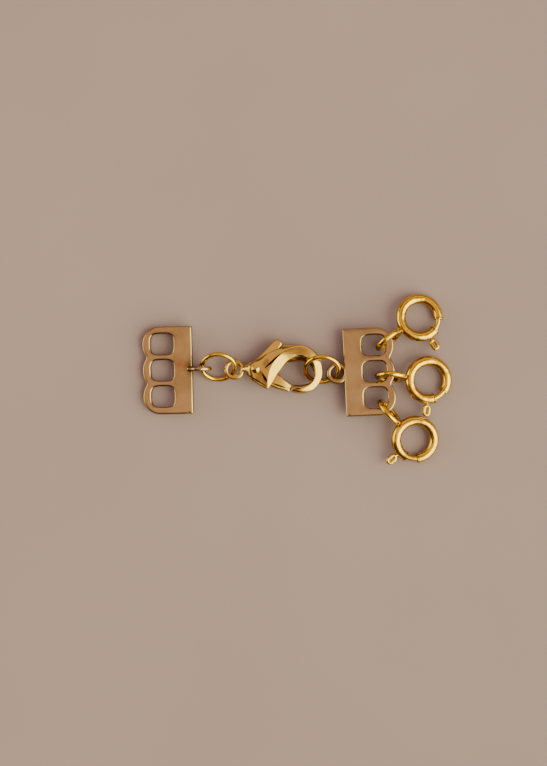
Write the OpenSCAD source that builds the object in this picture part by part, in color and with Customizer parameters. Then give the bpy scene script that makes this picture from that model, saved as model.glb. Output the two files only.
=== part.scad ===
// Three-strand layering clasp: two scalloped end plates, joined by a lobster clasp and two jump rings,
// with three spring rings on the right plate. It lies flat, seen from above, face up.
// Millimetres. The origin is the middle of the base: z = 0 is the surface that it lies on.

/* [End plates] */
// Length of a plate from its straight edge to its lobes
plate_len = 6.35; // [6:0.05:7]
// Width of a plate across its three lobes
plate_w = 11; // [10.8:0.1:11.4]
// Thickness of a plate
plate_t = 0.9; // [0.7:0.05:1]
// Distance between the centres of neighbouring holes
hole_pitch = 3.28; // [3.2:0.01:3.4]
// Size of a hole along the plate's length
hole_l = 2.95; // [2.6:0.05:3]
// Size of a hole across the plate
hole_w = 2.6; // [2.4:0.05:2.7]
// Outer diameter of the closed ring that stands in the left plate's edge
left_ring_d = 3.0; // [2.8:0.1:3.2]
// Outer diameter of the closed ring that lies in the right plate's edge
right_ring_d = 2.75; // [2.7:0.05:3]
// Wire of the two soldered plate rings
plate_ring_wire = 0.6; // [0.5:0.02:0.62]

/* [Jump rings] */
// Outer diameter of the two large jump rings
link_d = 4.75; // [4.7:0.05:4.8]
// Wire of the two large jump rings
link_wire = 0.58; // [0.5:0.02:0.6]
// Lean of the jump rings from lying flat, in degrees
link_lean = 42; // [42:1:45]

/* [Lobster clasp] */
// Outer diameter of the end loop
loop_d = 2.6; // [2.55:0.05:2.7]
// Thickness of the end loop
loop_wire = 0.56; // [0.5:0.02:0.58]
// Greatest thickness of the body
lobster_t = 2.8; // [2.7:0.1:3]
// Roll of the lobster clasp about its length, in degrees
lobster_roll = 2; // [0:1:3]
// Thickness of the lever
lever_t = 1.24; // [1:0.02:1.3]
// Gap between the lever and the walls of its slot
lever_gap = 0.1; // [0.06:0.01:0.12]
// Radius of the rivet
rivet_r = 0.4; // [0.35:0.01:0.42]
// How far the lever swings open, in degrees
lever_travel = 20; // [10:1:20]

/* [Spring rings] */
// Outer diameter of a spring ring
spring_d = 6.0; // [5.9:0.1:6]
// Diameter of the ring's tube
tube_d = 1.2; // [1.15:0.01:1.25]
// Wall of the tube
tube_wall = 0.18; // [0.15:0.01:0.2]
// Diameter of the bolt wire
bolt_d = 0.66; // [0.6:0.02:0.68]
// Outer diameter of the soldered eyelet
eyelet_d = 4.1; // [4:0.05:4.1]
// Wire of the soldered eyelet
eyelet_wire = 0.7; // [0.6:0.05:0.7]
// How far a bolt slides back round its ring, in degrees
bolt_travel = 38; // [20:1:38]

/* [Hidden] */
$fn = 64;
gold = [0.83, 0.62, 0.24];
light_gold = [0.92, 0.74, 0.36];
eps = 0.01;

// Middle of the whole outline in the measured layout, which the origin sits at
middle = [0.059, 0.016];

// Plate outline: three lobes of one radius, the two outer ones with tighter corners
corner_r = 2.2;
lobe_r = 2.75;
edge_corner_r = 0.25;
hole_corner_r = 0.8;
hole_round_r = 1.62;
hole_inset = 3.83;

// Places of the plates: the middle of each straight edge, the turn in the plane and the tilt
left_plate_turn = 1.3;
left_plate_tilt = 9;
left_edge_z = plate_len * sin(left_plate_tilt) + plate_t / 2 * cos(left_plate_tilt);
left_plate_pos = [-12.95, 1.2, left_edge_z];
left_ring_offset = [0.88, 0.1, -0.085];
right_plate_turn = 2.7;
right_plate_tilt = 3;
right_plate_pos = [5.97, 0.8, 1.32];
right_ring_offset = [-0.87, 0, 0];

// Places of the jump rings: each leans on the surface
link_r = (link_d - link_wire) / 2;
link_z = link_r * sin(link_lean) + link_wire / 2;
left_link_pos = [-9.75, 1.55, link_z];
right_link_pos = [3.21, 1.25, link_z];

// Lobster clasp: its middle plane lies half its thickness above the surface
lobster_pos = [0, 1.3, lobster_t / 2 + 0.02];
loop_pos = [-7.76, -0.06];
pivot = [-5.05, 0.05];
rivet_gap = 0.05;
rivet_head_r = 0.55;
rivet_head_t = 0.09;
rivet_len = 2.6;
hub_r = 0.85;
gate_turn = -29;
gate_len = 5.03;
tab_turn = 50;
tab_reach = 4.1;
tab_r = 0.55;
tab_root_r = 0.7;
tip_gap = 0.06;
tip_cut = [2, 3.2];
slot_step = 5;

// Outline of the gate arm from the pivot, along the arm and across it
GATE = [[0, -0.8], [1.2, -1.2], [2.3, -1.2], [3.4, -0.98], [5.2, -0.5], [5.2, 0.33], [2.6, 0.8], [0, 0.85]];

// Ribs across the lobster's body and hook, from the neck to the hook's tip:
// outer x, outer y, inner x, inner y, thickness as a share of the greatest
RIBS = [
    [-6.80,  0.35, -6.80, -0.35, 0.24],
    [-6.30,  0.62, -6.30, -0.52, 0.50],
    [-5.70,  1.10, -5.80, -1.20, 0.82],
    [-4.90,  1.55, -5.10, -1.72, 0.90],
    [-4.10,  2.10, -4.35, -2.18, 0.98],
    [-3.30,  2.65, -3.60, -2.42, 1.00],
    [-2.30,  2.95, -2.95, -1.55, 0.97],
    [-1.50,  3.05, -2.45, -0.70, 0.92],
    [-0.70,  3.07, -1.90,  0.05, 0.86],
    [ 0.10,  3.07, -1.10,  0.80, 0.79],
    [ 0.90,  3.00, -0.20,  1.05, 0.72],
    [ 1.75,  2.65,  0.60,  1.00, 0.63],
    [ 2.47,  2.06,  1.30,  0.75, 0.56],
    [ 3.00,  1.23,  1.85,  0.25, 0.51],
    [ 3.20,  0.20,  2.15, -0.35, 0.46],
    [ 3.20, -0.90,  2.20, -0.95, 0.42],
    [ 2.80, -1.80,  2.00, -1.45, 0.42],
    [ 2.12, -2.57,  1.50, -1.80, 0.44],
    [ 1.22, -3.00,  0.90, -1.95, 0.48],
    [ 0.30, -3.08,  0.30, -2.00, 0.50],
    [-0.60, -2.90, -0.45, -1.95, 0.50]
];
rib_steps = 2;
rib_sides = 18;
rib_power = 2.6;
rib_slab = 0.02;

// Spring rings: x and y of each ring's middle, direction of its eyelet, sideways lean of the eyelet
// from upright, and turn of the tube from the eyelet
SPRING_RINGS = [
    [15.42,  7.73, 215.5,  12, -3.3],
    [16.53, -0.06, 175.2,  12,  4.3],
    [14.86, -7.52, 133.5, -12, -0.5]
];
eyelet_lean = 12;
tube_r = tube_d / 2;
tube_path_r = spring_d / 2 - tube_r;
channel_r = tube_r - tube_wall;
eyelet_path_r = (eyelet_d - eyelet_wire) / 2;
eyelet_reach = 4.85;
eyelet_z = eyelet_path_r * cos(eyelet_lean) + eyelet_wire / 2;
spring_slope = asin((eyelet_z - tube_r) / (eyelet_reach + tube_path_r));
spring_z = tube_r + tube_path_r * sin(spring_slope);
mouth_from = 109.5;
mouth_to = 144;
lip_r = tube_r + 0.06;
lip_turn = 4;
bolt_tip_at = 150;
bolt_tail_at = 62;
knob_at = 87;
slot_margin = 8;
slot_h = 0.56;
knob_r = 3.58;
knob_wire_r = 0.23;
knob_bend_r = 0.31;
knob_straight = 0.5;
stem_r = 0.2;

// Measured place moved so that the origin is the middle of the base
function laid(p) = [p[0] - middle[0], p[1] - middle[1], p[2]];

// Round wire bent into a closed ring in the XY plane
module wire_ring(path_r, wire_r) {
    rotate_extrude() translate([path_r, 0]) circle(r = wire_r);
}

// Rounded rectangle, centred
module rounded_rect(l, w, r) {
    square([l - 2 * r, w], center = true);
    square([l, w - 2 * r], center = true);
    for (sx = [-1, 1], sy = [-1, 1]) translate([sx * (l / 2 - r), sy * (w / 2 - r)]) circle(r = r);
}

// Plate outline with its straight edge at x = 0 and its lobes towards -X
module plate_outline() {
    lobe_y = plate_w / 2 - corner_r;
    intersection() {
        for (i = [-1:1]) translate([-(plate_len - lobe_r), i * lobe_y]) circle(r = lobe_r);
        square([3 * plate_len, 2 * lobe_y], center = true);
    }
    for (s = [-1, 1]) translate([-(plate_len - corner_r), s * lobe_y]) circle(r = corner_r);
    translate([-(plate_len - corner_r), -plate_w / 2])
        square([plate_len - corner_r - edge_corner_r, plate_w]);
    translate([-2 * edge_corner_r, -plate_w / 2 + edge_corner_r])
        square([2 * edge_corner_r, plate_w - 2 * edge_corner_r]);
    for (s = [-1, 1]) translate([-edge_corner_r, s * (plate_w / 2 - edge_corner_r)])
        circle(r = edge_corner_r);
}

module plate_hole() {
    intersection() {
        rounded_rect(hole_l, hole_w, hole_corner_r);
        circle(r = hole_round_r);
    }
}

module plate() {
    translate([0, 0, -plate_t / 2]) linear_extrude(plate_t) difference() {
        plate_outline();
        for (i = [-1:1]) translate([-hole_inset, i * hole_pitch]) plate_hole();
    }
}

module left_plate() color(gold)
    translate(laid(left_plate_pos)) rotate([0, 0, left_plate_turn]) rotate([0, -left_plate_tilt, 0]) {
        plate();
        translate(left_ring_offset) rotate([90, 0, 0])
            wire_ring((left_ring_d - plate_ring_wire) / 2, plate_ring_wire / 2);
    }

module right_plate() color(gold)
    translate(laid(right_plate_pos)) rotate([0, 0, right_plate_turn]) rotate([0, -right_plate_tilt, 0]) {
        mirror([1, 0, 0]) plate();
        translate(right_ring_offset)
            wire_ring((right_ring_d - plate_ring_wire) / 2, plate_ring_wire / 2);
    }

module link(pos) color(light_gold)
    translate(laid(pos)) rotate([link_lean, 0, 0]) wire_ring(link_r, link_wire / 2);

module left_link() link(left_link_pos);

module right_link() link(right_link_pos);

// Place of the lobster clasp's own plane
module lobster_place() {
    translate(laid(lobster_pos)) rotate([lobster_roll, 0, 0]) children();
}

// Smooth curve through the table's rows, at row number s
function spline(a, b, c, d, t) =
    0.5 * (2 * b + (c - a) * t + (2 * a - 5 * b + 4 * c - d) * t * t + (3 * b - a - 3 * c + d) * t * t * t);
function row(i) = RIBS[min(max(i, 0), len(RIBS) - 1)];
function rib_at(s) = let (i = min(floor(s), len(RIBS) - 2))
    spline(row(i - 1), row(i), row(i + 1), row(i + 2), s - i);

// Rounded section of the cast body, from the inner edge to the outer one
function section(l, t) = [for (k = [0:rib_sides - 1]) let (a = 360 * (k + 0.5) / rib_sides)
    [l / 2 * sign(cos(a)) * pow(abs(cos(a)), 2 / rib_power),
     t / 2 * sign(sin(a)) * pow(abs(sin(a)), 2 / rib_power)]];

module rib(s) {
    r = rib_at(s);
    across = [r[0] - r[2], r[1] - r[3]];
    translate([(r[0] + r[2]) / 2, (r[1] + r[3]) / 2, 0])
        rotate([0, 0, atan2(across[1], across[0])])
            rotate([90, 0, 0])
                linear_extrude(rib_slab, center = true)
                    polygon(section(norm(across), r[4] * lobster_t));
}

module lever_outline() {
    circle(r = hub_r);
    rotate(gate_turn) intersection() {
        polygon(GATE);
        circle(r = gate_len);
    }
    rotate(tab_turn) {
        polygon([[0, -tab_root_r], [tab_reach, -tab_r], [tab_reach, tab_r], [0, tab_root_r]]);
        translate([tab_reach, 0]) circle(r = tab_r);
    }
}

// Space that the lever sweeps between its closed and its open place
module lever_slot() {
    for (a = [0:slot_step:lever_travel]) rotate(a) offset(delta = lever_gap) lever_outline();
}

module lobster_body() color(gold) lobster_place() difference() {
    union() {
        for (s = [0:1 / rib_steps:len(RIBS) - 1 - 1 / rib_steps]) hull() {
            rib(s);
            rib(s + 1 / rib_steps);
        }
        translate([loop_pos[0], loop_pos[1], 0])
            rotate_extrude($fn = 32) translate([(loop_d - loop_wire) / 2, 0]) circle(d = loop_wire, $fn = 16);
    }
    translate([pivot[0], pivot[1], -lever_t / 2 - lever_gap])
        linear_extrude(lever_t + 2 * lever_gap, convexity = 6) {
            lever_slot($fn = 32);
            intersection() {
                circle(r = gate_len + tip_gap);
                rotate(gate_turn) translate([gate_len - tip_cut[0] / 2, -tip_cut[1] / 2]) square(tip_cut);
            }
        }
    translate([pivot[0], pivot[1], 0])
        cylinder(r = rivet_r + rivet_gap, h = 2 * lobster_t, center = true, $fn = 24);
}

module lobster_lever() color(light_gold) lobster_place()
    translate([pivot[0], pivot[1], -lever_t / 2]) linear_extrude(lever_t) difference() {
        lever_outline();
        circle(r = rivet_r + rivet_gap);
    }

module lobster_rivet() color(light_gold) lobster_place() translate([pivot[0], pivot[1], 0]) {
    cylinder(r = rivet_r, h = rivet_len + eps, center = true);
    for (s = [-1, 1]) translate([0, 0, s * (rivet_len + rivet_head_t) / 2])
        cylinder(r = rivet_head_r, h = rivet_head_t, center = true);
}

// Place of a spring ring: its far side lies on the surface and its eyelet stands on it
module spring_place(ring) {
    translate(laid([ring[0], ring[1], spring_z])) rotate([0, 0, ring[2]]) rotate([0, -spring_slope, 0])
        rotate([0, 0, ring[4]]) children();
}

// Stretch of round wire along the ring, from one angle to another
module ring_arc(wire_r, from, to) {
    rotate_extrude(angle = to - from, start = from) translate([tube_path_r, 0]) circle(r = wire_r);
}

module spring_ring(ring) color(gold) spring_place(ring) difference() {
    union() {
        ring_arc(tube_r, mouth_to, 360 + mouth_from);
        ring_arc(lip_r, mouth_to, mouth_to + lip_turn);
        ring_arc(lip_r, mouth_from - lip_turn, mouth_from);
        rotate([0, 0, -ring[4]]) translate([eyelet_reach, 0, 0]) rotate([90 + ring[3], 0, 0])
            wire_ring(eyelet_path_r, eyelet_wire / 2);
    }
    rotate_extrude() translate([tube_path_r, 0]) circle(r = channel_r);
    rotate_extrude(angle = bolt_travel + 2 * slot_margin, start = knob_at - bolt_travel - slot_margin)
        translate([tube_path_r + bolt_d / 4, -slot_h / 2]) square([tube_d, slot_h]);
}

module spring_bolt(ring) color(light_gold) spring_place(ring) {
    ring_arc(bolt_d / 2, bolt_tail_at, bolt_tip_at);
    rotate([0, 0, knob_at]) {
        translate([tube_path_r, 0, 0]) rotate([0, 90, 0])
            cylinder(r = stem_r, h = knob_r - tube_path_r - knob_bend_r);
        for (s = [-1, 1]) translate([knob_r, s * knob_bend_r, 0]) rotate([0, 90, 0])
            cylinder(r = knob_wire_r, h = knob_straight);
        translate([knob_r, 0, 0]) rotate_extrude(angle = 180, start = 90)
            translate([knob_bend_r, 0]) circle(r = knob_wire_r);
        translate([knob_r + knob_straight, 0, 0]) rotate_extrude(angle = 180, start = -90)
            translate([knob_bend_r, 0]) circle(r = knob_wire_r);
    }
}

module spring_ring_1() spring_ring(SPRING_RINGS[0]);

module spring_ring_2() spring_ring(SPRING_RINGS[1]);

module spring_ring_3() spring_ring(SPRING_RINGS[2]);

module spring_bolt_1() spring_bolt(SPRING_RINGS[0]);

module spring_bolt_2() spring_bolt(SPRING_RINGS[1]);

module spring_bolt_3() spring_bolt(SPRING_RINGS[2]);

left_plate();
left_link();
lobster_body();
lobster_lever();
lobster_rivet();
right_link();
right_plate();
spring_ring_1();
spring_ring_2();
spring_ring_3();
spring_bolt_1();
spring_bolt_2();
spring_bolt_3();
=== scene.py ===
# Three-strand layering clasp in polished gold plate, lying flat and seen from straight above.
from collections import namedtuple
from math import acos, asin, atan2, copysign, cos, degrees, hypot, pi, radians, sin

import bmesh
import bpy
from mathutils import Matrix, Vector


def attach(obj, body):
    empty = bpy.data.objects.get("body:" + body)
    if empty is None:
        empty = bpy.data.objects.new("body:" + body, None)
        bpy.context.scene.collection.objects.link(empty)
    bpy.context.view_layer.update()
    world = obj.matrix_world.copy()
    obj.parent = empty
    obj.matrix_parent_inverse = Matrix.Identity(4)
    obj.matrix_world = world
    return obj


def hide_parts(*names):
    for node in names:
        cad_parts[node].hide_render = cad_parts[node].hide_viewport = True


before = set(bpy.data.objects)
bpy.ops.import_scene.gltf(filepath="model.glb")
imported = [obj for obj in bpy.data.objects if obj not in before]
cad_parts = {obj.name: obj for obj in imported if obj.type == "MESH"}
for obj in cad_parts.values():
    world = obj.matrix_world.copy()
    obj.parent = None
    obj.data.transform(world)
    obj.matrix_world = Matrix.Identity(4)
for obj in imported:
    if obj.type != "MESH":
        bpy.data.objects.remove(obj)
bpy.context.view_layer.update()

# Everything is modelled in millimetres and degrees, and written to its mesh in metres
MM = 0.001
IDENTITY = Matrix.Identity(4)
WHITE = (1.0, 1.0, 1.0)

# Layout: the middle of the measured places, which the origin sits at
MIDDLE = (0.059, 0.016)

# End plates
PLATE_LEN, PLATE_W, PLATE_T, PLATE_EDGE_R = 6.35, 11.0, 0.9, 0.22
CORNER_R, LOBE_R, EDGE_CORNER_R, NOTCH_R = 2.2, 2.75, 0.25, 0.3
HOLE_PITCH, HOLE_INSET, HOLE_L, HOLE_W, HOLE_POWER = 3.28, 3.83, 2.95, 2.6, 3.7
PLATE_RING_WIRE = 0.6
LEFT_PLATE = {"pos": (-12.95, 1.2), "turn": 1.3, "tilt": 9.0, "ring_d": 3.0, "ring": (0.88, 0.1, -0.085),
              "nick": (-0.5, -5.28, 0.45), "solder": (-0.20, 0.10, 0.50)}
RIGHT_PLATE = {"pos": (5.97, 0.8), "turn": 2.7, "tilt": 3.0, "ring_d": 2.75, "ring": (-0.87, 0.0, 0.0),
               "nick": (0.35, -5.30, 0.45)}
RIGHT_PLATE_Z = 1.32
PLATE_SOLDER, NICK = (0.52, 0.36, 0.24), (0.26, 0.10, 0.14)

# Jump rings: name, place, and direction of the seam; the seam is a gap of twice LINK_SEAM degrees
LINK_D, LINK_WIRE, LINK_LEAN, LINK_SEAM = 4.75, 0.58, 42.0, 1.0
LINKS = [
    ("left_link", (-9.75, 1.55), 250.0),
    ("right_link", (3.21, 1.25), 128.0),
]

# Lobster clasp: its body lies on the floor with a roll, and the lever turns about the pivot
LOBSTER_T, LOBSTER_ROLL, LOBSTER_Y, LOBSTER_LIFT = 2.8, 2.0, 1.3, 0.02
LOOP_D, LOOP_WIRE, LOOP_POS = 2.6, 0.56, (-7.76, -0.06)
PIVOT = (-5.05, 0.05)
LEVER_T, LEVER_EDGE_R, LEVER_GAP, LEVER_TRAVEL = 1.24, 0.24, 0.1, 20
GATE_TURN, GATE_LEN, GATE_TAPER_FROM, GATE_TAPER = -29.0, 5.03, 2.2, 0.52
TIP_GAP, TIP_CUT_SPAN, TIP_CUT_DEPTH = 0.06, 14, 1.0
TAB_TURN, TAB_LEN, HEEL_TURN = 50.0, 4.65, 180.0
SLOT_TURN_STEP = 5
RIVET_R, RIVET_HEAD_R, RIVET_LEN, RIVET_HEAD_T, RIVET_HEAD_SINK = 0.4, 0.55, 2.6, 0.09, 0.16
RIVET_STEP, DOME_POWER, DOME_ROWS = 0.02, 1.3, (0.04, 0.2, 0.4, 0.6, 0.8, 0.92, 1.0)
CAST_VOXEL, SOFT_FACTOR, SOFT_ROUNDS = 0.05, 0.5, 4

# Corners of the lever: direction of the arm, place along and across it, and radius of the rounding
LEVER_CORNERS = [
    (GATE_TURN, 5.0, -0.52, 0.10), (GATE_TURN, 5.01, 0.33, 0.10),
    (GATE_TURN, 2.6, 0.78, 0.5), (GATE_TURN, 1.2, 1.15, 0.4),
    (TAB_TURN, TAB_LEN, -0.56, 0.5), (TAB_TURN, TAB_LEN, 0.53, 0.5),
    (TAB_TURN, 0.2, 0.80, 0.6), (HEEL_TURN, 0.80, 0.55, 0.5),
    (HEEL_TURN, 0.45, 0.95, 0.5), (GATE_TURN, 1.3, -1.18, 0.4),
    (GATE_TURN, 3.4, -0.96, 0.6),
]

# Ribs across the lobster's body and hook, from the neck to the hook's tip: x and y of the outer edge, of
# the crest and of the inner edge, thickness as a share of the greatest, then for the outer side how flat
# its slope is (0 round, 1 flat) and the height at which it ends, and for the inner side the same, with
# the share of its width that is a steeper wall and the height of the wall's foot
Rib = namedtuple("Rib", ["outer_x", "outer_y", "crest_x", "crest_y", "inner_x", "inner_y", "thickness",
                         "outer_flat", "outer_end", "inner_flat", "inner_end", "inner_wall", "inner_foot"])
RIBS = [
    (-6.80, 0.35, -6.80, 0.00, -6.80, -0.35, 0.24, 0.0, 0.60, 0.0, 0.60, 0.0, 0.60),
    (-6.30, 0.62, -6.30, 0.02, -6.30, -0.52, 0.50, 0.0, 0.60, 0.0, 0.60, 0.0, 0.60),
    (-5.70, 1.10, -5.75, 0.02, -5.80, -1.20, 0.76, 0.0, 0.60, 0.8, 0.85, 0.0, 0.85),
    (-4.90, 1.55, -5.00, 0.00, -5.10, -1.72, 0.82, 0.0, 0.60, 1.0, 0.88, 0.0, 0.88),
    (-4.10, 2.10, -4.25, -0.30, -4.35, -2.18, 0.92, 0.0, 0.60, 1.0, 0.88, 0.0, 0.88),
    (-3.30, 2.65, -3.62, -1.15, -3.60, -2.42, 0.98, 0.1, 0.60, 1.0, 0.86, 0.0, 0.86),
    (-2.30, 2.95, -3.42, -0.40, -2.95, -1.55, 0.98, 0.2, 0.60, 1.0, 0.74, 0.0, 0.74),
    (-1.50, 3.05, -3.13, 0.40, -2.45, -0.70, 0.96, 0.2, 0.60, 1.0, 0.66, 0.0, 0.66),
    (-0.70, 3.07, -2.62, 1.18, -1.90, 0.05, 0.92, 0.3, 0.60, 1.0, 0.64, 0.0, 0.64),
    (0.10, 3.07, -1.85, 1.70, -1.15, 0.70, 0.83, 0.6, 0.60, 1.0, 0.72, 0.20, 0.42),
    (0.90, 3.00, -0.70, 1.80, -0.25, 0.92, 0.72, 0.7, 0.58, 1.0, 0.87, 0.61, 0.28),
    (1.75, 2.65, 0.50, 1.82, 0.57, 0.90, 0.63, 0.7, 0.56, 0.7, 1.00, 1.00, 0.34),
    (2.47, 2.06, 1.45, 1.52, 1.30, 0.72, 0.56, 0.7, 0.52, 0.6, 1.00, 1.00, 0.40),
    (3.00, 1.23, 2.10, 0.98, 1.85, 0.25, 0.51, 0.9, 0.45, 0.4, 1.00, 1.00, 0.45),
    (3.20, 0.20, 2.38, 0.12, 2.15, -0.35, 0.46, 1.0, 0.40, 0.0, 1.00, 1.00, 0.45),
    (3.20, -0.90, 2.42, -0.78, 2.20, -0.95, 0.42, 1.0, 0.40, 0.0, 1.00, 1.00, 0.45),
    (2.80, -1.80, 2.18, -1.42, 2.00, -1.45, 0.42, 1.0, 0.40, 0.0, 1.00, 1.00, 0.45),
    (2.12, -2.57, 1.66, -1.98, 1.50, -1.80, 0.44, 0.8, 0.45, 0.0, 1.00, 1.00, 0.45),
    (1.22, -3.00, 1.00, -2.30, 0.90, -1.95, 0.48, 0.4, 0.50, 0.0, 1.00, 1.00, 0.45),
    (0.30, -3.08, 0.30, -2.45, 0.30, -2.00, 0.50, 0.0, 0.50, 0.0, 1.00, 1.00, 0.45),
    (-0.60, -2.90, -0.52, -2.38, -0.45, -1.95, 0.50, 0.0, 0.50, 0.0, 1.00, 1.00, 0.45),
]
# The back is a little thinner than the front. The last share of each side is an upright edge, a round side
# falls with a power of the distance from the crest, and a wall takes up no more than a share of its side
UNDERSIDE, EDGE_SHARE, ROUND_POWER, WALL_MOST = 0.96, 0.03, 2.3, 0.98
# Rows of points from one rib to the next, down a side and over its edge
RIB_STEPS, SIDE_STEPS, EDGE_STEPS = 6, 15, 4

# Creases in the lobster's front face, and the line along its gate: ends, width and depth
CREASES = [
    ((-3.97, 0.12), (-1.98, 1.96), 0.27, 0.34),
    ((-4.28, -0.56), (-3.66, -1.66), 0.25, 0.30),
    ((-6.30, -0.58), (-3.66, -2.16), 0.16, 0.22),
    ((-0.28, -2.47), (0.60, -2.42), 0.15, 0.16),
    ((-0.15, 1.79), (0.98, 1.72), 0.14, 0.16),
]
GATE_LINE = ((-3.05, -1.76), (-1.25, -2.38), 0.20, 0.20)
# The cutter of a crease: its size at the ends, how full it stays between, and how far it widens and rises
GROOVE_END, GROOVE_FULLNESS, GROOVE_FLARE, GROOVE_RISE = 0.06, 0.6, 3, 0.5

# Spring rings: x and y of the middle, direction of the eyelet, lean of the eyelet, turn of the tube
EYELET_D, EYELET_WIRE, EYELET_LEAN, EYELET_REACH = 4.1, 0.7, 12.0, 4.85
EYELET_R = (EYELET_D - EYELET_WIRE) / 2
EYELET_SOLDER, EYELET_SOLDER_OUT = (0.30, 0.40, 0.62), 0.02
SPRING_RINGS = [
    (15.42, 7.73, 215.5, EYELET_LEAN, -3.3),
    (16.53, -0.06, 175.2, EYELET_LEAN, 4.3),
    (14.86, -7.52, 133.5, -EYELET_LEAN, -0.5),
]
SPRING_D, TUBE_D, TUBE_WALL, BOLT_D = 6.0, 1.2, 0.18, 0.66
TUBE_R, PATH_R = TUBE_D / 2, (SPRING_D - TUBE_D) / 2
MOUTH_FROM, MOUTH_TO = 109.5, 144.0
BOLT_TAIL_AT, BOLT_TIP_AT, KNOB_AT, BOLT_TRAVEL, SLOT_MARGIN = 62.0, 150.0, 87.0, 38.0, 8.0
SLOT_H, SLOT_END_HALF = 0.56, 0.02
KNOB_R, KNOB_WIRE_R, KNOB_BEND_R, KNOB_STRAIGHT, STEM_R = 3.58, 0.23, 0.31, 0.50, 0.2
# Collar, groove and rim at each end of the mouth: how many degrees they reach, and the change of radius
LIPS = ((1.7, 0.05), (3.8, -0.07), (5.4, 0.03))

# Where soldering left its marks on the left plate: middle in the layout, reach and stain
SOLDER_MARKS = [
    ((-14.49, 1.86, 1.75), 1.1, (0.86, 0.62, 0.56)),
    ((-13.05, 1.30, 1.75), 1.2, (0.30, 0.26, 0.20)),
]

# The gold of each material slot: its lightest and deepest tint, the range of its roughness, the size and
# depth of its dents, the depth of its scratches, and its marks
Gold = namedtuple("Gold", ["light", "deep", "rough", "dent_size", "dent_depth", "scratch_depth", "marks"])
GOLDS = {
    "plate_gold": Gold((0.63, 0.44, 0.25), (0.48, 0.33, 0.18), (0.10, 0.20), 5.0, 0.12, 0.0006,
                       SOLDER_MARKS),
    "wire_gold": Gold((1.0, 0.69, 0.09), (0.95, 0.60, 0.05), (0.08, 0.16), 1.2, 0.04, 0.0006, []),
    "cast_gold": Gold((0.84, 0.58, 0.17), (0.72, 0.48, 0.12), (0.10, 0.20), 1.6, 0.03, 0.0008, []),
    "tube_gold": Gold((1.0, 0.69, 0.09), (0.95, 0.60, 0.05), (0.08, 0.16), 0.9, 0.07, 0.0006, []),
}
# Painted shade: the gold's colour is darkened in hollows, which the pointiness tells, and where a face
# looks sideways or down
HOLLOW_SHADE_TONES = ((0.42, (0.16, 0.09, 0.05)), (0.49, WHITE))
LOW_SIDE_SHADE_TONES = ((0.16, (0.32, 0.19, 0.09)), (0.64, WHITE))
# Size of a pattern's features and its detail, the part of a pattern's range that the tint and the roughness
# follow, and how far a mark keeps its full stain
DRIFT, HAZE, SCRATCHES, DENT_DETAIL = (3.0, 3.0), (0.8, 4.0), (0.12, 5.0), 1.0
TINT_STOPS, HAZE_RANGE, MARK_CORE = (0.35, 0.65), (0.3, 0.7), 0.1

# Floor: half its width in metres, its roughness, the size and detail of its clouds, and their two tones
FLOOR_HALF_M, FLOOR_ROUGHNESS, FLOOR_CLOUDS = 0.6, 0.55, (100 / 3, 2.0)
FLOOR_TONES = ((0.3, (0.421, 0.334, 0.471)), (0.7, (0.448, 0.356, 0.502)))

# Lamps of the studio: direction, colour, and brightness by the cosine of the angle to that direction. The
# first is wide and soft, low on the right, with a fading rim; the second is a small one low on the left
LAMPS = [
    ((0.90, -0.42, 0.60), (1.0, 0.96, 0.45),
     ((0.55, 0.0), (0.70, 0.15), (0.79, 1.1), (0.86, 3.3), (0.93, 4.3))),
    ((-0.97, 0.10, 0.26), (1.0, 0.90, 0.50), ((0.84, 0.0), (0.90, 0.7), (0.96, 2.4))),
]
# Brightness of the studio itself along an axis that leans back from the zenith: dark low in front (0),
# bright at the zenith (0.89) and dimmer at the back (1)
CEILING_AXIS = (0.13, 0.40, 0.89)
CEILING = ((0.0, 0.04), (0.26, 0.07), (0.36, 0.20), (0.47, 0.30), (0.54, 0.05), (0.62, 0.07), (0.71, 0.85),
           (0.90, 0.86), (0.95, 0.50), (1.0, 0.36))
# Its green and blue as shares of its red; the green one grows with the brightness
CEILING_GREEN, CEILING_GREEN_GAIN, CEILING_BLUE = 0.50, 0.21, 0.42

# The photograph: its frame, pixels to the millimetre, where the middle of the layout lies in the frame,
# and the height at which that scale is true
FRAME_PX = (547, 766)
PX_PER_MM = 8.0
MIDDLE_PX = (296.4, 379.4)
SCALE_Z = 1.5
LENS_MM, SENSOR_MM, CLIP_START_M = 100.0, 36.0, 0.01


def turned(axis, angle):
    """Rotation about an axis, in degrees."""
    return Matrix.Rotation(radians(angle), 4, axis)


def placed(x, y, z):
    """Place in the layout, moved so that the origin is the middle of the base."""
    return Matrix.Translation((x - MIDDLE[0], y - MIDDLE[1], z))


# Meshes in millimetres

def mesh_object(name, bm, matrix=IDENTITY):
    """Object made of a finished bmesh, which is used up."""
    mesh = bpy.data.meshes.new(name)
    bmesh.ops.recalc_face_normals(bm, faces=bm.faces)
    bm.to_mesh(mesh)
    bm.free()
    mesh.transform(matrix)
    obj = bpy.data.objects.new(name, mesh)
    bpy.context.scene.collection.objects.link(obj)
    return obj


def grid(bm, rings, close_rings, cap_ends):
    """Quads between rows of points; each row is a closed ring."""
    rows = [[bm.verts.new(p) for p in ring] for ring in rings]
    count = len(rows[0])
    followers = rows[1:] + rows[:1] if close_rings else rows[1:]
    for a, b in zip(rows, followers):
        for i in range(count):
            j = (i + 1) % count
            bm.faces.new((a[i], a[j], b[j], b[i]))
    if cap_ends:
        bm.faces.new(rows[0])
        bm.faces.new(rows[-1][::-1])
    return rows


def grid_object(name, rings, closed=False, matrix=IDENTITY):
    """Solid through closed rings of points, either closed on itself or capped at both ends."""
    bm = bmesh.new()
    grid(bm, rings, closed, not closed)
    return mesh_object(name, bm, matrix)


def round_steps(count):
    """Angles in even steps round a circle."""
    return [2 * pi * k / count for k in range(count)]


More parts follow.
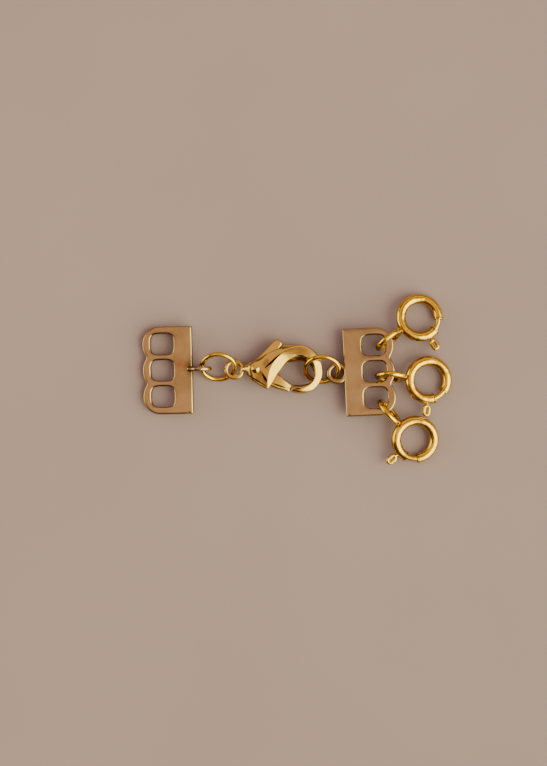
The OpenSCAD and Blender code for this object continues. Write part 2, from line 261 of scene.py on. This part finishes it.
def wire(name, path_r, radius_at, start=0.0, end=360.0, steps=120, sides=24, tips=True, matrix=IDENTITY):
    """Round wire bent round the Z axis. Its radius is a function of the angle in degrees."""
    closed = end - start >= 360.0
    stations = [(start + (end - start) * i / steps, 1.0) for i in range(steps + (0 if closed else 1))]
    if tips and not closed:
        stations = rounded_tips(stations, radius_at, path_r)
    rings = []
    for angle, share in stations:
        a, r = radians(angle), radius_at(angle) * share
        rings.append([Vector(((path_r + r * cos(v)) * cos(a), (path_r + r * cos(v)) * sin(a), r * sin(v)))
                      for v in round_steps(sides)])
    return grid_object(name, rings, closed, matrix)


def even(radius):
    """The radius of a wire that is equally thick everywhere."""
    return lambda angle: radius


def rounded_tips(stations, radius_at, path_r, rows=5, curl=0.46, bulge=0.6):
    """Adds rows that shrink to a small flat at both ends, so that a cut wire has rounded tips."""
    first, last = stations[0][0], stations[-1][0]
    head, tail = [], []
    for k in range(1, rows + 1):
        share = cos(curl * pi * k / rows)
        reach = bulge * sin(curl * pi * k / rows) / path_r
        head.insert(0, (first - degrees(radius_at(first) * reach), share))
        tail.append((last + degrees(radius_at(last) * reach), share))
    return head + stations + tail


def straight_wire(name, radius, length, matrix, sides=20):
    """Round wire along X from the origin."""
    rings = [[Vector((x, radius * cos(v), radius * sin(v))) for v in round_steps(sides)]
             for x in (0.0, length)]
    return grid_object(name, rings, False, matrix)


def bead(name, size, matrix, sides=28, rows=16):
    """Small ellipsoid, used for solder and to cut a nick."""
    bm = bmesh.new()
    bmesh.ops.create_uvsphere(bm, u_segments=sides, v_segments=rows, radius=1.0)
    return mesh_object(name, bm, matrix @ Matrix.Diagonal((*size, 1.0)))


def arc(cx, cy, r, start, end, inside=True, step=6.0):
    """Points of an outline on an arc, each with the direction that points into the material."""
    count = max(2, int(abs(end - start) / step) + 1)
    side = -1.0 if inside else 1.0
    points = []
    for i in range(count + 1):
        a = radians(start + (end - start) * i / count)
        points.append((cx + r * cos(a), cy + r * sin(a), side * cos(a), side * sin(a)))
    return points


def without_doubles(loop, nearest=1e-4):
    """An outline without the points that repeat the one before."""
    return [p for i, p in enumerate(loop)
            if hypot(p[0] - loop[i - 1][0], p[1] - loop[i - 1][1]) > nearest]


def rounded_sheet(name, loops, thickness, edge_r, rows=5):
    """Flat sheet with softly rounded edges. Its loops are outlines, the outer one and the holes."""
    lower = []
    for k in range(rows + 1):
        a = 0.5 * pi * (1 - k / rows)
        lower.append((edge_r * (1 - cos(a)), -thickness / 2 + edge_r * (1 - sin(a))))
    profile = lower + [(inset, -z) for inset, z in reversed(lower)]
    bm = bmesh.new()
    rims = {-1: [], 1: []}
    for loop in loops:
        points = without_doubles(loop)
        rings = [[Vector((x + nx * inset, y + ny * inset, z)) for x, y, nx, ny in points]
                 for inset, z in profile]
        rows_made = grid(bm, rings, close_rings=False, cap_ends=False)
        rims[-1].append(rows_made[0])
        rims[1].append(rows_made[-1])
    for side, around in rims.items():
        edges = []
        for rim in around:
            edges += [bm.edges.get((rim[i], rim[(i + 1) % len(rim)])) for i in range(len(rim))]
        bmesh.ops.triangle_fill(bm, use_beauty=True, use_dissolve=False, edges=edges, normal=(0, 0, side))
    return mesh_object(name, bm)


def subdivide_faces(obj, longest=0.35):
    """Splits the long edges of flat faces, so that they can bend."""
    bm = bmesh.new()
    bm.from_mesh(obj.data)
    for _ in range(3):
        edges = [e for e in bm.edges if e.calc_length() > longest]
        bmesh.ops.subdivide_edges(bm, edges=edges, cuts=1)
        bmesh.ops.triangulate(bm, faces=[f for f in bm.faces if len(f.verts) > 4])
    bm.to_mesh(obj.data)
    bm.free()


def apply_modifiers(obj):
    """Puts the result of the modifiers in the place of the mesh."""
    depsgraph = bpy.context.evaluated_depsgraph_get()
    mesh = bpy.data.meshes.new_from_object(obj.evaluated_get(depsgraph))
    obj.modifiers.clear()
    old = obj.data
    obj.data = mesh
    bpy.data.meshes.remove(old)


def combine(obj, other, operation):
    """Union or difference of two closed meshes; the second is used up."""
    modifier = obj.modifiers.new("combine", "BOOLEAN")
    modifier.operation = operation
    modifier.solver = "MANIFOLD"
    modifier.object = other
    apply_modifiers(obj)
    bpy.data.objects.remove(other, do_unlink=True)


def surface_z(obj, x, y, otherwise, above=5.0):
    """Height of a mesh's upper face at a place, or the other value beside it."""
    hit, place, _, _ = obj.ray_cast(Vector((x, y, above)), Vector((0, 0, -1)))
    return place.z if hit else otherwise


def cut_groove(obj, start, end, width, depth, steps=8):
    """Cuts a narrow crease with pointed ends into the upper face of a mesh."""
    a, b = (Vector((x, y, surface_z(obj, x, y, 0.0))) for x, y in (start, end))
    along = b - a
    across = along.cross(Vector((0, 0, 1))).normalized()
    rise = Vector((0, 0, GROOVE_RISE))
    rings = []
    for k in range(steps + 1):
        share = max(GROOVE_END, sin(pi * k / steps)) ** GROOVE_FULLNESS
        middle = a + along * k / steps
        middle.z = surface_z(obj, middle.x, middle.y, middle.z)
        side = across * width / 2 * share
        flare = side * GROOVE_FLARE
        rings.append([middle - Vector((0, 0, depth * share)), middle + side, middle + flare + rise,
                      middle - flare + rise, middle - side])
    combine(obj, grid_object("groove", rings), "DIFFERENCE")


def finish_piece(obj, node, body, slot, materials, sharp=50.0):
    """Turns a millimetre mesh into the piece in metres that stands for a CAD node."""
    obj.name = node + "_polished"
    obj.data.name = obj.name
    obj.data.transform(Matrix.Scale(MM, 4))
    obj.data.shade_smooth()
    obj.data.set_sharp_from_angle(angle=radians(sharp))
    obj.data.materials.clear()
    obj.data.materials.append(materials[slot])
    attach(obj, body)
    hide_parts(node)


# Shader nodes

class Graph:
    """The nodes of a material or world. Each method adds one and gives back its output."""

    def __init__(self, owner):
        owner.use_nodes = True
        self.nodes = owner.node_tree.nodes
        self.links = owner.node_tree.links

    def ramp(self, value, tones):
        """Colour that a value picks between tones, which are pairs of a position and a colour."""
        node = self.nodes.new("ShaderNodeValToRGB")
        stops = node.color_ramp.elements
        stops[0].position, stops[0].color = tones[0][0], (*tones[0][1], 1.0)
        stops[1].position, stops[1].color = tones[-1][0], (*tones[-1][1], 1.0)
        for position, colour in tones[1:-1]:
            stops.new(position).color = (*colour, 1.0)
        self.links.new(value, node.inputs["Fac"])
        return node.outputs["Color"]

    def product(self, first, second):
        """Product of two colours."""
        node = self.nodes.new("ShaderNodeMix")
        node.data_type = "RGBA"
        node.blend_type = "MULTIPLY"
        node.inputs["Factor"].default_value = 1.0
        self.links.new(first, node.inputs["A"])
        self.links.new(second, node.inputs["B"])
        return node.outputs["Result"]

    def total(self, first, second):
        """Sum of two colours."""
        node = self.nodes.new("ShaderNodeVectorMath")
        node.operation = "ADD"
        self.links.new(first, node.inputs[0])
        self.links.new(second, node.inputs[1])
        return node.outputs["Vector"]

    def dot(self, vector, axis):
        """How far a vector reaches along an axis."""
        node = self.nodes.new("ShaderNodeVectorMath")
        node.operation = "DOT_PRODUCT"
        node.inputs[1].default_value = axis
        self.links.new(vector, node.inputs[0])
        return node.outputs["Value"]

    def distance(self, vector, middle):
        """Distance of a place from a point, in metres."""
        node = self.nodes.new("ShaderNodeVectorMath")
        node.operation = "DISTANCE"
        node.inputs[1].default_value = middle
        self.links.new(vector, node.inputs[0])
        return node.outputs["Value"]

    def mapped(self, value, source, target=(0.0, 1.0)):
        """Value moved from one range to another, and kept in it."""
        node = self.nodes.new("ShaderNodeMapRange")
        for socket, number in zip(("From Min", "From Max", "To Min", "To Max"), (*source, *target)):
            node.inputs[socket].default_value = number
        self.links.new(value, node.inputs["Value"])
        return node.outputs["Result"]

    def noise(self, place, size, detail):
        """Noise with features of a size in millimetres."""
        node = self.nodes.new("ShaderNodeTexNoise")
        node.inputs["Scale"].default_value = 1.0 / (size * MM)
        node.inputs["Detail"].default_value = detail
        self.links.new(place, node.inputs["Vector"])
        return node.outputs["Fac"]

    def bump(self, height, depth, under=None):
        """Normal bent by a height of a depth in millimetres, on top of another normal."""
        node = self.nodes.new("ShaderNodeBump")
        node.inputs["Distance"].default_value = depth * MM
        node.inputs["Strength"].default_value = 1.0
        self.links.new(height, node.inputs["Height"])
        if under:
            self.links.new(under, node.inputs["Normal"])
        return node.outputs["Normal"]


# Materials

def gold_material(name, gold):
    """Polished gold plate: its tint drifts, small dents bend the reflections, painted shade darkens the low
    sides and hollows, and marks are the patches left by soldering."""
    material = bpy.data.materials.new(name)
    graph = Graph(material)
    shader = graph.nodes["Principled BSDF"]
    shader.inputs["Metallic"].default_value = 1.0
    place = graph.nodes.new("ShaderNodeTexCoord").outputs["Object"]
    shape = graph.nodes.new("ShaderNodeNewGeometry").outputs

    colour = graph.ramp(graph.noise(place, *DRIFT), tuple(zip(TINT_STOPS, (gold.deep, gold.light))))
    # Painted shade: the colour is darkened in hollows, found by pointiness
    colour = graph.product(colour, graph.ramp(shape["Pointiness"], HOLLOW_SHADE_TONES))
    # Painted shade: the colour is darkened where a face looks sideways or down
    colour = graph.product(colour, graph.ramp(graph.dot(shape["Normal"], (0, 0, 1)), LOW_SIDE_SHADE_TONES))
    for middle, reach, stain in gold.marks:
        away = graph.distance(place, [MM * (v - m) for v, m in zip(middle, (*MIDDLE, 0))])
        near = graph.mapped(away, (MARK_CORE * MM, reach * MM))
        colour = graph.product(colour, graph.ramp(near, ((0.0, stain), (1.0, WHITE))))
    graph.links.new(colour, shader.inputs["Base Color"])

    rough = graph.mapped(graph.noise(place, *HAZE), HAZE_RANGE, gold.rough)
    graph.links.new(rough, shader.inputs["Roughness"])

    dents = graph.bump(graph.noise(place, gold.dent_size, DENT_DETAIL), gold.dent_depth)
    scratched = graph.bump(graph.noise(place, *SCRATCHES), gold.scratch_depth, dents)
    graph.links.new(scratched, shader.inputs["Normal"])
    return material


def floor_material():
    """Pale matt floor with a faint cloudiness."""
    material = bpy.data.materials.new("pale_floor")
    graph = Graph(material)
    shader = graph.nodes["Principled BSDF"]
    shader.inputs["Roughness"].default_value = FLOOR_ROUGHNESS
    place = graph.nodes.new("ShaderNodeTexCoord").outputs["Object"]
    tint = graph.ramp(graph.noise(place, *FLOOR_CLOUDS), FLOOR_TONES)
    graph.links.new(tint, shader.inputs["Base Color"])
    return material


# End plates

def plate_loops():
    """Outline of an end plate with its straight edge at x = 0 and its lobes towards -X, and its holes."""
    lobe_y, edge_y = PLATE_W / 2 - CORNER_R, PLATE_W / 2 - EDGE_CORNER_R
    lobe_x, corner_x = -(PLATE_LEN - LOBE_R), -(PLATE_LEN - CORNER_R)
    reach = LOBE_R + NOTCH_R
    lean = degrees(asin(lobe_y / 2 / reach))
    notch_x = lobe_x - (reach ** 2 - (lobe_y / 2) ** 2) ** 0.5
    outline = arc(-EDGE_CORNER_R, edge_y, EDGE_CORNER_R, 0, 90)
    outline += arc(corner_x, lobe_y, CORNER_R, 90, 180)
    outline += arc(lobe_x, lobe_y, LOBE_R, 180, 180 + lean)
    outline += arc(notch_x, lobe_y / 2, NOTCH_R, lean, -lean, inside=False, step=12.0)
    outline += arc(lobe_x, 0, LOBE_R, 180 - lean, 180 + lean)
    outline += arc(notch_x, -lobe_y / 2, NOTCH_R, lean, -lean, inside=False, step=12.0)
    outline += arc(lobe_x, -lobe_y, LOBE_R, 180 - lean, 180)
    outline += arc(corner_x, -lobe_y, CORNER_R, 180, 270)
    outline += arc(-EDGE_CORNER_R, -edge_y, EDGE_CORNER_R, 270, 360)
    return [outline] + [hole_loop(-HOLE_INSET, i * HOLE_PITCH) for i in (-1, 0, 1)]


def hole_loop(cx, cy, count=96):
    """Rounded-square hole with slightly bowed sides."""
    loop = []
    a, b, n = HOLE_L / 2, HOLE_W / 2, HOLE_POWER
    for k in range(count):
        t = 2 * pi * (k + 0.5) / count
        x = a * copysign(abs(cos(t)) ** (2 / n), cos(t))
        y = b * copysign(abs(sin(t)) ** (2 / n), sin(t))
        nx = copysign(abs(x / a) ** (n - 1) / a, x)
        ny = copysign(abs(y / b) ** (n - 1) / b, y)
        size = hypot(nx, ny)
        loop.append((cx + x, cy + y, nx / size, ny / size))
    return loop


def build_plate(name, spec, z, mirrored, ring_turn, materials):
    """One end plate with its soldered ring, a nick in its edge and, on the left one, a bead of solder."""
    sheet = rounded_sheet(name, plate_loops(), PLATE_T, PLATE_EDGE_R)
    if mirrored:
        sheet.data.transform(Matrix.Scale(-1, 4, (1, 0, 0)))
        sheet.data.flip_normals()
    path_r = (spec["ring_d"] - PLATE_RING_WIRE) / 2
    ring_at = Matrix.Translation(spec["ring"]) @ ring_turn
    combine(sheet, wire("ring", path_r, even(PLATE_RING_WIRE / 2), matrix=ring_at), "UNION")
    if "solder" in spec:
        combine(sheet, bead("solder", PLATE_SOLDER, Matrix.Translation(spec["solder"])), "UNION")
    combine(sheet, bead("nick", NICK, Matrix.Translation(spec["nick"])), "DIFFERENCE")
    sheet.data.transform(placed(*spec["pos"], z) @ turned("Z", spec["turn"]) @ turned("Y", -spec["tilt"]))
    finish_piece(sheet, name, "root", "plate_gold", materials, sharp=35.0)


def build_plates(materials):
    """The left plate leans on its upright ring; the right one is mirrored and its ring lies flat."""
    tilt = radians(LEFT_PLATE["tilt"])
    left_z = PLATE_LEN * sin(tilt) + PLATE_T / 2 * cos(tilt)
    build_plate("left_plate", LEFT_PLATE, left_z, False, turned("X", 90), materials)
    build_plate("right_plate", RIGHT_PLATE, RIGHT_PLATE_Z, True, IDENTITY, materials)


# Jump rings

def build_links(materials):
    """The two jump rings, which lean on the pieces that they join."""
    path_r = (LINK_D - LINK_WIRE) / 2
    z = path_r * sin(radians(LINK_LEAN)) + LINK_WIRE / 2
    for name, pos, seam in LINKS:
        start, end = seam + LINK_SEAM, seam + 360 - LINK_SEAM
        matrix = placed(*pos, z) @ turned("X", LINK_LEAN)
        ring = wire(name, path_r, even(LINK_WIRE / 2), start, end, steps=140, sides=28, matrix=matrix)
        finish_piece(ring, name, "root", "wire_gold", materials)


# Lobster clasp

def rib_at(s):
    """Rib at a row number s, on a smooth curve through the rows of the table."""
    i = min(int(s), len(RIBS) - 2)
    t = s - i
    rows = (RIBS[min(max(i + k, 0), len(RIBS) - 1)] for k in (-1, 0, 1, 2))
    return Rib(*(curve_through(t, *four) for four in zip(*rows)))


def curve_through(t, before, start, end, after):
    """Smooth curve from one value to the next (t from 0 to 1), by way of their neighbours."""
    slope = end - before
    bend = 2 * before - 5 * start + 4 * end - after
    twist = 3 * start - before - 3 * end + after
    return 0.5 * (2 * start + slope * t + bend * t * t + twist * t ** 3)


def side_height(x, flat, end, wall=0.0, foot=None):
    """Height of a side of the body, from its crest (0) to its edge (1): round, or a flat bevel and a
    steeper wall above an upright edge."""
    rounded = max(0.0, 1 - x ** ROUND_POWER) ** 0.5
    foot = end if foot is None else foot
    edge = 1 - EDGE_SHARE
    ridge = edge * (1 - min(WALL_MOST, max(0.0, wall)))
    if x < ridge:
        bevel = 1 - (1 - end) * x / ridge
    elif x < edge:
        bevel = end + (foot - end) * (x - ridge) / (edge - ridge)
    else:
        bevel = foot * max(0.0, 1 - ((x - edge) / EDGE_SHARE) ** 2) ** 0.5
    return flat * bevel + (1 - flat) * rounded


def rib_ring(rib):
    """Closed ring of points round the body at one rib."""
    outer = Vector((rib.outer_x, rib.outer_y))
    crest = Vector((rib.crest_x, rib.crest_y))
    inner = Vector((rib.inner_x, rib.inner_y))
    half = rib.thickness * LOBSTER_T / 2
    inner_form = (rib.inner_flat, rib.inner_end, rib.inner_wall, rib.inner_foot)
    outer_form = (rib.outer_flat, rib.outer_end)
    steps = [(1 - EDGE_SHARE) * k / SIDE_STEPS for k in range(SIDE_STEPS)]
    steps += [1 - EDGE_SHARE + EDGE_SHARE * sin(pi / 2 * k / EDGE_STEPS) for k in range(EDGE_STEPS + 1)]
    top = [(*inner.lerp(crest, 1 - x), half * side_height(x, *inner_form)) for x in reversed(steps)]
    top += [(*crest.lerp(outer, x), half * side_height(x, *outer_form)) for x in steps[1:]]
    back = [(x, y, -z * UNDERSIDE) for x, y, z in reversed(top[1:-1])]
    return [Vector(p) for p in top + back]


def fillet(before, corner, after, radius):
    """Arc that rounds a corner of a counter-clockwise outline."""
    u, v = (before - corner).normalized(), (after - corner).normalized()
    half = acos(max(-1.0, min(1.0, u.dot(v)))) / 2
    centre = corner + (u + v).normalized() * (radius / sin(half))
    start = corner + u * (radius * cos(half) / sin(half)) - centre
    end = corner + v * (radius * cos(half) / sin(half)) - centre
    first, last = degrees(atan2(start.y, start.x)), degrees(atan2(end.y, end.x))
    turns_left = (corner - before).cross(after - corner) > 0
    last = first + (last - first) % 360 if turns_left else first - (first - last) % 360
    return arc(centre.x, centre.y, radius, first, last, inside=turns_left, step=12.0)


def lever_loop():
    """Outline of the lever about its pivot: hub, gate arm and tab arm."""
    corners = []
    for turn, along, across, radius in LEVER_CORNERS:
        a = radians(turn)
        x, y = along * cos(a) - across * sin(a), along * sin(a) + across * cos(a)
        corners.append((Vector((x, y)), radius))
    points = []
    for i, (corner, radius) in enumerate(corners):
        after = corners[(i + 1) % len(corners)][0]
        points += fillet(corners[i - 1][0], corner, after, radius)
    return points


def prism(name, outline, thickness, matrix):
    """Upright prism over an outline, with its middle at z = 0."""
    rings = [[Vector((x, y, z)) for x, y in outline] for z in (-thickness / 2, thickness / 2)]
    return grid_object(name, rings, False, matrix)


def build_lobster_body(matrix, hub, materials):
    """Cast body and hook with the end loop, hollowed for the lever, softened and then creased."""
    rings = [rib_ring(rib_at(n / RIB_STEPS)) for n in range((len(RIBS) - 1) * RIB_STEPS + 1)]
    body = grid_object("body", rings)
    loop_at = Matrix.Translation((*LOOP_POS, 0))
    combine(body, wire("loop", (LOOP_D - LOOP_WIRE) / 2, even(LOOP_WIRE / 2), matrix=loop_at), "UNION")
    slot_t = LEVER_T + 2 * LEVER_GAP
    grown = [(x - nx * LEVER_GAP, y - ny * LEVER_GAP) for x, y, nx, ny in lever_loop()]
    for angle in range(0, LEVER_TRAVEL + 1, SLOT_TURN_STEP):
        combine(body, prism("slot", grown, slot_t, hub @ turned("Z", angle)), "DIFFERENCE")
    low, high = GATE_TURN - TIP_CUT_SPAN, GATE_TURN + TIP_CUT_SPAN
    tip_cut = arc(0, 0, GATE_LEN + TIP_GAP, low, high, step=1.5)
    tip_cut += arc(0, 0, GATE_LEN - TIP_CUT_DEPTH, high, low, step=1.5)
    combine(body, prism("tip_cut", [p[:2] for p in tip_cut], slot_t, hub), "DIFFERENCE")
    remesh = body.modifiers.new("cast", "REMESH")
    remesh.mode = "VOXEL"
    remesh.voxel_size = CAST_VOXEL
    smooth = body.modifiers.new("soften", "SMOOTH")
    smooth.factor = SOFT_FACTOR
    smooth.iterations = SOFT_ROUNDS
    apply_modifiers(body)
    for crease in CREASES:
        cut_groove(body, *crease)
    body.data.transform(matrix)
    finish_piece(body, "lobster_body", "root", "cast_gold", materials, sharp=60.0)


def build_lever(matrix, hub, materials):
    """Lever whose gate thins towards its tip, with a line along it."""
    lever = rounded_sheet("lever", [lever_loop()], LEVER_T, LEVER_EDGE_R)
    subdivide_faces(lever)
    gate = Vector((cos(radians(GATE_TURN)), sin(radians(GATE_TURN)), 0))
    for vertex in lever.data.vertices:
        share = (vertex.co.dot(gate) - GATE_TAPER_FROM) / (GATE_LEN - GATE_TAPER_FROM)
        vertex.co.z *= 1 - GATE_TAPER * min(1.0, max(0.0, share)) ** 2
    lever.data.transform(hub)
    cut_groove(lever, *GATE_LINE)
    lever.data.transform(matrix)
    finish_piece(lever, "lobster_lever", "lever", "cast_gold", materials, sharp=35.0)


def build_rivet(matrix, materials, sides=32):
    """Rivet with a low dome at each end."""
    rim, top = RIVET_LEN / 2 - RIVET_HEAD_SINK, RIVET_LEN / 2 + RIVET_HEAD_T
    upper = [(top - (top - rim) * x ** DOME_POWER, RIVET_HEAD_R * x) for x in DOME_ROWS]
    upper.append((rim - RIVET_STEP, RIVET_R))
    profile = upper + [(-z, r) for z, r in reversed(upper)]
    rings = [[Vector((r * cos(v), r * sin(v), z)) for v in round_steps(sides)] for z, r in profile]
    rivet = grid_object("rivet", rings, False, matrix)
    finish_piece(rivet, "lobster_rivet", "root", "cast_gold", materials, sharp=60.0)


def build_lobster(materials):
    """The lobster clasp's three pieces."""
    matrix = placed(0, LOBSTER_Y, LOBSTER_T / 2 + LOBSTER_LIFT) @ turned("X", LOBSTER_ROLL)
    hub = Matrix.Translation((*PIVOT, 0))
    build_lobster_body(matrix, hub, materials)
    build_lever(matrix, hub, materials)
    build_rivet(matrix @ hub, materials)


# Spring rings

def spring_matrix(x, y, heading):
    """Place of a spring ring, which slopes from the top of its eyelet down to the floor."""
    eyelet_z = EYELET_R * cos(radians(EYELET_LEAN)) + EYELET_WIRE / 2
    slope = asin((eyelet_z - TUBE_R) / (EYELET_REACH + PATH_R))
    dip = turned("Y", -degrees(slope))
    return placed(x, y, TUBE_R + PATH_R * sin(slope)) @ turned("Z", heading) @ dip


def lip_radius(angle):
    """Radius of the tube, with a collar, a groove and a rim at the two ends of the mouth."""
    nearest = min(abs(angle - MOUTH_TO), abs(angle - (360 + MOUTH_FROM)))
    for reach, step in LIPS:
        if nearest < reach:
            return TUBE_R + step
    return TUBE_R


def slot_cutter(start, end, matrix, steps=40):
    """Curved bar with round ends that cuts the knob's slot in the tube's outer wall."""
    inner, outer = PATH_R + BOLT_D / 4, PATH_R + TUBE_D
    rings = []
    for i in range(steps + 1):
        angle = start + (end - start) * i / steps
        from_end = radians(min(angle - start, end - angle)) * (PATH_R + TUBE_R)
        half = SLOT_H / 2
        if from_end < half:
            half = max(SLOT_END_HALF, (half ** 2 - (half - from_end) ** 2) ** 0.5)
        a = radians(angle)
        rings.append([Vector((r * cos(a), r * sin(a), z))
                      for r, z in ((inner, -half), (outer, -half), (outer, half), (inner, half))])
    return grid_object("slot", rings, False, matrix)


def knob_loop(matrix, bend_steps=16, sides=20):
    """Closed oval loop of wire that the bolt is drawn back by."""
    stations = []
    for first, middle_x in ((-90, KNOB_R + KNOB_STRAIGHT), (90, KNOB_R)):
        for i in range(bend_steps + 1):
            a = radians(first + 180 * i / bend_steps)
            stations.append((middle_x + KNOB_BEND_R * cos(a), KNOB_BEND_R * sin(a), cos(a), sin(a)))
    r = KNOB_WIRE_R
    rings = [[Vector((x + r * cos(v) * nx, y + r * cos(v) * ny, r * sin(v))) for v in round_steps(sides)]
             for x, y, nx, ny in stations]
    return grid_object("knob", rings, True, matrix)


def build_tube(name, matrix, tube_turn, lean, materials):
    """Hollow tube ring with its mouth and slot, and the eyelet soldered on."""
    tube = wire("tube", PATH_R, lip_radius, MOUTH_TO, 360 + MOUTH_FROM, steps=400, sides=32, tips=False,
                matrix=tube_turn)
    eyelet_at = Matrix.Translation((EYELET_REACH, 0, 0)) @ turned("X", 90 + lean)
    combine(tube, wire("eyelet", EYELET_R, even(EYELET_WIRE / 2), steps=110, matrix=eyelet_at), "UNION")
    solder_at = Matrix.Translation((PATH_R + TUBE_R + EYELET_SOLDER_OUT, 0, 0)) @ turned("X", lean)
    combine(tube, bead("solder", EYELET_SOLDER, solder_at), "UNION")
    channel = wire("channel", PATH_R, even(TUBE_R - TUBE_WALL), steps=200, matrix=tube_turn)
    combine(tube, channel, "DIFFERENCE")
    slot_from = KNOB_AT - BOLT_TRAVEL - SLOT_MARGIN
    combine(tube, slot_cutter(slot_from, KNOB_AT + SLOT_MARGIN, tube_turn), "DIFFERENCE")
    tube.data.transform(matrix)
    finish_piece(tube, name, "root", "tube_gold", materials, sharp=40.0)


def build_bolt(name, body, matrix, materials):
    """Curved bolt with its stem and knob."""
    bolt = wire("bolt", PATH_R, even(BOLT_D / 2), BOLT_TAIL_AT, BOLT_TIP_AT, steps=60, sides=28)
    knob = turned("Z", KNOB_AT)
    stem_at = knob @ Matrix.Translation((PATH_R, 0, 0))
    combine(bolt, straight_wire("stem", STEM_R, KNOB_R - PATH_R - KNOB_BEND_R, stem_at), "UNION")
    combine(bolt, knob_loop(knob), "UNION")
    bolt.data.transform(matrix)
    finish_piece(bolt, name, body, "wire_gold", materials)


def build_spring_rings(materials):
    """The three spring rings, each a tube and its bolt."""
    for number, (x, y, heading, lean, tube_turn) in enumerate(SPRING_RINGS, 1):
        matrix, turn = spring_matrix(x, y, heading), turned("Z", tube_turn)
        build_tube("spring_ring_%d" % number, matrix, turn, lean, materials)
        build_bolt("spring_bolt_%d" % number, "bolt_%d" % number, matrix @ turn, materials)


# Floor, light and camera

def build_floor():
    """Plain floor under the clasp."""
    bm = bmesh.new()
    bmesh.ops.create_grid(bm, x_segments=1, y_segments=1, size=FLOOR_HALF_M)
    floor = mesh_object("floor", bm)
    floor.data.materials.append(floor_material())


def ceiling_colour(power):
    """Colour of the studio at a brightness: its dim parts are the redder ones."""
    return (power, power * (CEILING_GREEN + CEILING_GREEN_GAIN * power), power * CEILING_BLUE)


def build_light():
    """The lamps and the studio round them, all in the world's background."""
    world = bpy.data.worlds.new("studio")
    bpy.context.scene.world = world
    graph = Graph(world)
    direction = graph.nodes.new("ShaderNodeTexCoord").outputs["Generated"]
    lights = []
    for towards, colour, steps in LAMPS:
        glow = [(at, [c * power for c in colour]) for at, power in steps]
        lights.append(graph.ramp(graph.dot(direction, Vector(towards).normalized()), glow))
    ceiling = [(at, ceiling_colour(power)) for at, power in CEILING]
    lights.append(graph.ramp(graph.dot(direction, CEILING_AXIS), ceiling))
    background = graph.nodes["Background"]
    background.inputs["Strength"].default_value = 1.0
    total = graph.total(graph.total(lights[0], lights[1]), lights[2])
    graph.links.new(total, background.inputs["Color"])


def build_camera():
    """Camera straight above, which frames the clasp as the photograph does."""
    camera = bpy.data.cameras.new("camera")
    camera.lens = LENS_MM
    camera.sensor_width = SENSOR_MM
    camera.sensor_fit = "AUTO"
    camera.clip_start = CLIP_START_M
    height = FRAME_PX[1] / PX_PER_MM * LENS_MM / SENSOR_MM
    x = (FRAME_PX[0] / 2 - MIDDLE_PX[0]) / PX_PER_MM - MIDDLE[0]
    y = (MIDDLE_PX[1] - FRAME_PX[1] / 2) / PX_PER_MM - MIDDLE[1]
    obj = bpy.data.objects.new("camera", camera)
    obj.location = Vector((x, y, height + SCALE_Z)) * MM
    bpy.context.scene.collection.objects.link(obj)
    bpy.context.scene.camera = obj


golds = {slot: gold_material(slot, gold) for slot, gold in GOLDS.items()}
build_plates(golds)
build_links(golds)
build_lobster(golds)
build_spring_rings(golds)
build_floor()
build_light()
build_camera()
